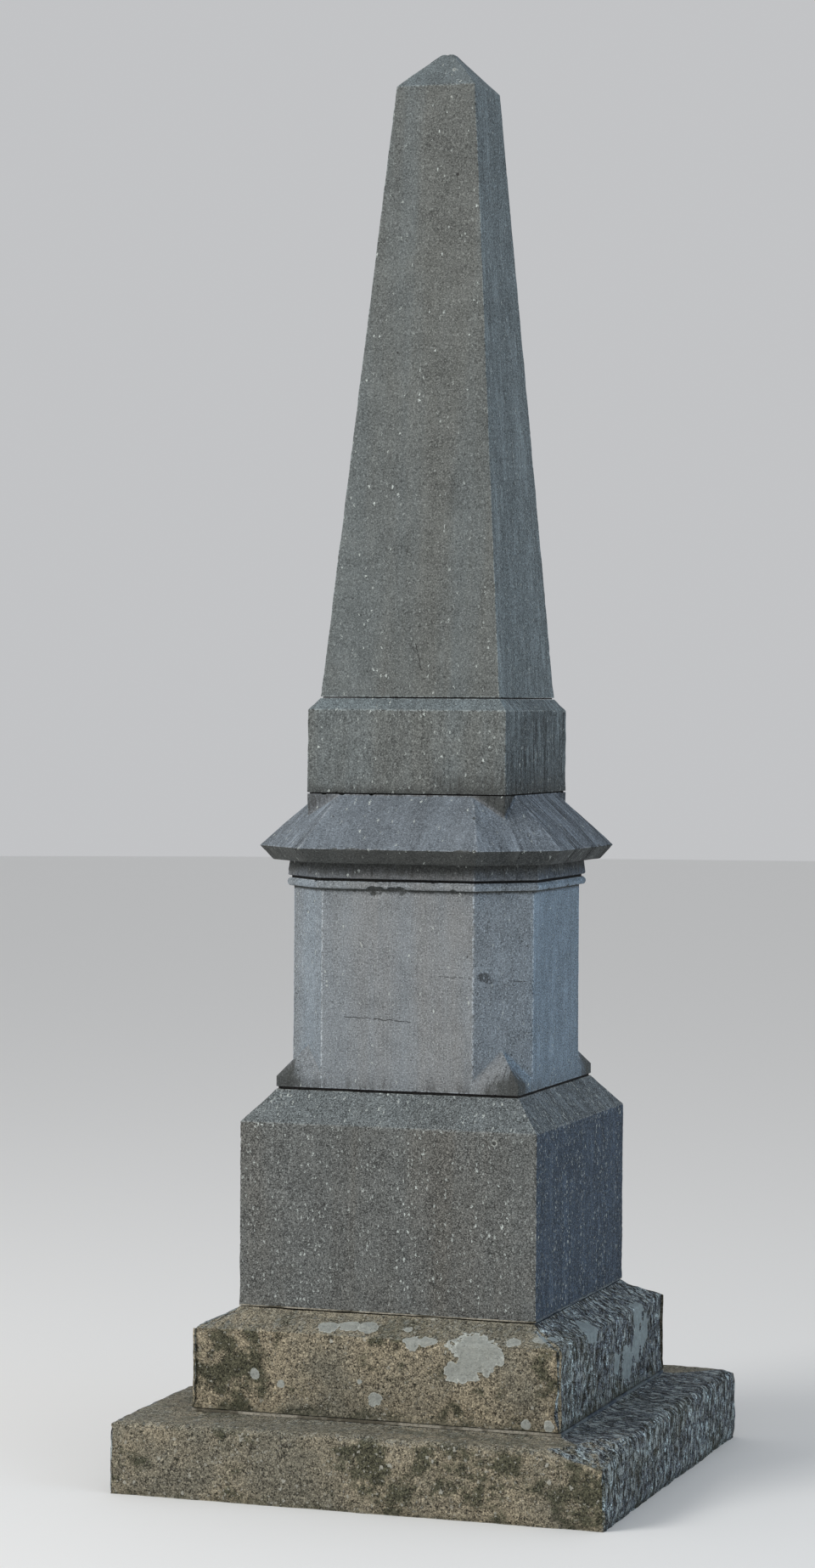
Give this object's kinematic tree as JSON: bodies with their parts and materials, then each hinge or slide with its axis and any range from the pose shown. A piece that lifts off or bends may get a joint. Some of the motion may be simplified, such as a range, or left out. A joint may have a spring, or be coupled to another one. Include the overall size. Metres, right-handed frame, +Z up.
{
  "type": "stone obelisk",
  "caption": "Weathered sandstone obelisk: a tapered square shaft with a blunt pointed cap on a neck block, mitred cornice, eight-sided die, square plinth and low stepped base.",
  "frame": {"origin": "centre of the foot, on the ground", "axes": "+Z up the shaft; the front face, with the plain bare panel of the plinth, looks along -Y; +X is to the right seen from the front"},
  "size_m": [1.016, 1.008, 2.858],
  "materials": {
    "shaft_stone": "grey weathered sandstone, rubbed, with dark vertical rain streaks",
    "die_stone": "pale washed sandstone, rubbed, with dark soiling under the mouldings",
    "plinth_stone": "buff sandstone, rubbed, with grey streaks",
    "upper_step_stone": "buff sandstone, worn, with lichen spots and dark streaks",
    "lower_step_stone": "olive-stained sandstone, heavily worn, with algae and lichen",
    "mortar": "dark recessed lime mortar"
  },
  "bodies": {
    "root": {"lower_step_front": "lower_step_stone", "lower_step_middle": "lower_step_stone", "lower_step_back": "lower_step_stone", "lower_step_front_joint": "mortar", "lower_step_back_joint": "mortar", "upper_step_bed": "mortar", "upper_step": "upper_step_stone", "plinth_bed": "mortar", "plinth": "plinth_stone", "die_bed": "mortar", "die": "die_stone", "cornice_bed": "mortar", "cornice": "die_stone", "neck_bed": "mortar", "neck_block": "shaft_stone", "shaft_bed": "mortar", "shaft": "shaft_stone"}
  },
  "joints": []
}
